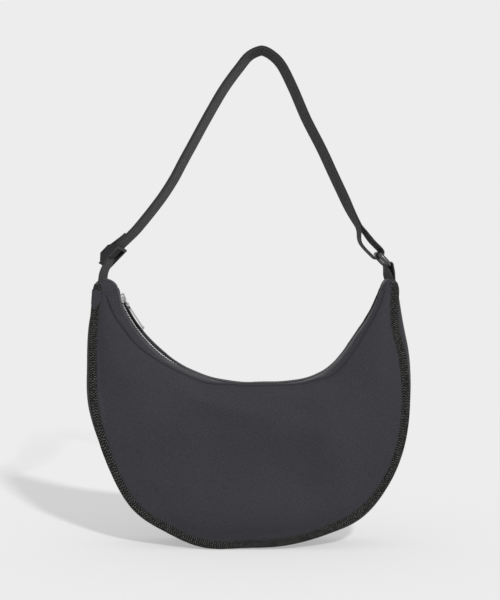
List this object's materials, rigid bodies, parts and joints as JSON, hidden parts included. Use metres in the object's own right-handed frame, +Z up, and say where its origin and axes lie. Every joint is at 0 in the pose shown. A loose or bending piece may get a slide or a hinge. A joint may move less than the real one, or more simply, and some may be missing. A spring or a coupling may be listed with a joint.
{
  "type": "shoulder bag",
  "caption": "Crescent fabric shoulder bag with bound seams, a curved metal zip with a hanging pull, and a doubled webbing strap on a sliding adjuster and a ring.",
  "frame": {"origin": "centre of the bag's box in the plane it stands on", "axes": "+X towards the tip with the ring, +Y towards the rear panel, +Z up along the strap"},
  "size_m": [0.3416, 0.0848, 0.5262],
  "materials": {
    "shell": "dark charcoal nylon with a soft sheen",
    "binding": "near black herringbone tape",
    "zip_tape": "black woven tape",
    "zip_metal": "bright tumbled metal",
    "lining": "matt dark lining cloth",
    "bright_metal": "polished",
    "webbing": "ribbed webbing",
    "black_metal": "gloss black enamel"
  },
  "bodies": {
    "bag": {"front_panel": "shell", "rear_panel": "shell", "bottom_gusset": "shell", "front_binding": "binding", "rear_binding": "binding", "front_zip_strip": "shell", "rear_zip_strip": "shell", "front_zip_tape": "zip_tape", "rear_zip_tape": "zip_tape", "front_zip_teeth": "zip_metal", "rear_zip_teeth": "zip_metal", "zip_stops": "zip_metal", "left_tip": "shell", "right_tip": "shell", "front_lining": "lining", "rear_lining": "lining", "gusset_lining": "lining", "slip_pocket": "lining", "strap_tail": "webbing", "ring_tab": "webbing"},
    "zip_slider": {"zip_slider": "bright_metal"},
    "pull_link": {"pull_link": "bright_metal"},
    "zip_pull": {"zip_pull": "bright_metal"},
    "strap": {"strap_inner_run": "webbing", "strap_outer_run": "webbing", "strap_turn": "webbing"},
    "strap_slide": {"strap_slide": "black_metal", "strap_sewn_loop": "webbing"},
    "strap_ring": {"strap_ring": "black_metal"}
  },
  "joints": [
    {"name": "zip_travel", "type": "hinge", "parent": "bag", "child": "zip_slider", "pos_m": [0.0015, 0, 0.315], "axis": [0, -1, 0], "range_deg": [0, 122], "deforming": ["front_zip_teeth", "rear_zip_teeth"]},
    {"name": "link_swing", "type": "hinge", "parent": "zip_slider", "child": "pull_link", "pos_m": [-0.13114, 0, 0.26279], "axis": [0, -1, 0], "range_deg": [0, 70]},
    {"name": "pull_swing", "type": "hinge", "parent": "pull_link", "child": "zip_pull", "pos_m": [-0.12624, 0, 0.25524], "axis": [0, -1, 0], "range_deg": [0, 55]},
    {"name": "strap_swing", "type": "hinge", "parent": "bag", "child": "strap", "pos_m": [0, 0, 0.274], "axis": [1, 0, 0], "range_deg": [-70, 85], "deforming": ["strap_tail", "ring_tab"]},
    {"name": "strap_length", "type": "hinge", "parent": "strap", "child": "strap_slide", "pos_m": [-0.57641, 0, 0.72479], "axis": [0, -1, 0], "range_deg": [0, 4.3], "deforming": ["strap_outer_run"]},
    {"name": "ring_tilt", "type": "hinge", "parent": "strap", "child": "strap_ring", "pos_m": [0.14768, 0, 0.296], "axis": [0.2501, -0.9397, 0.2333], "range_deg": [-8, 8]}
  ]
}
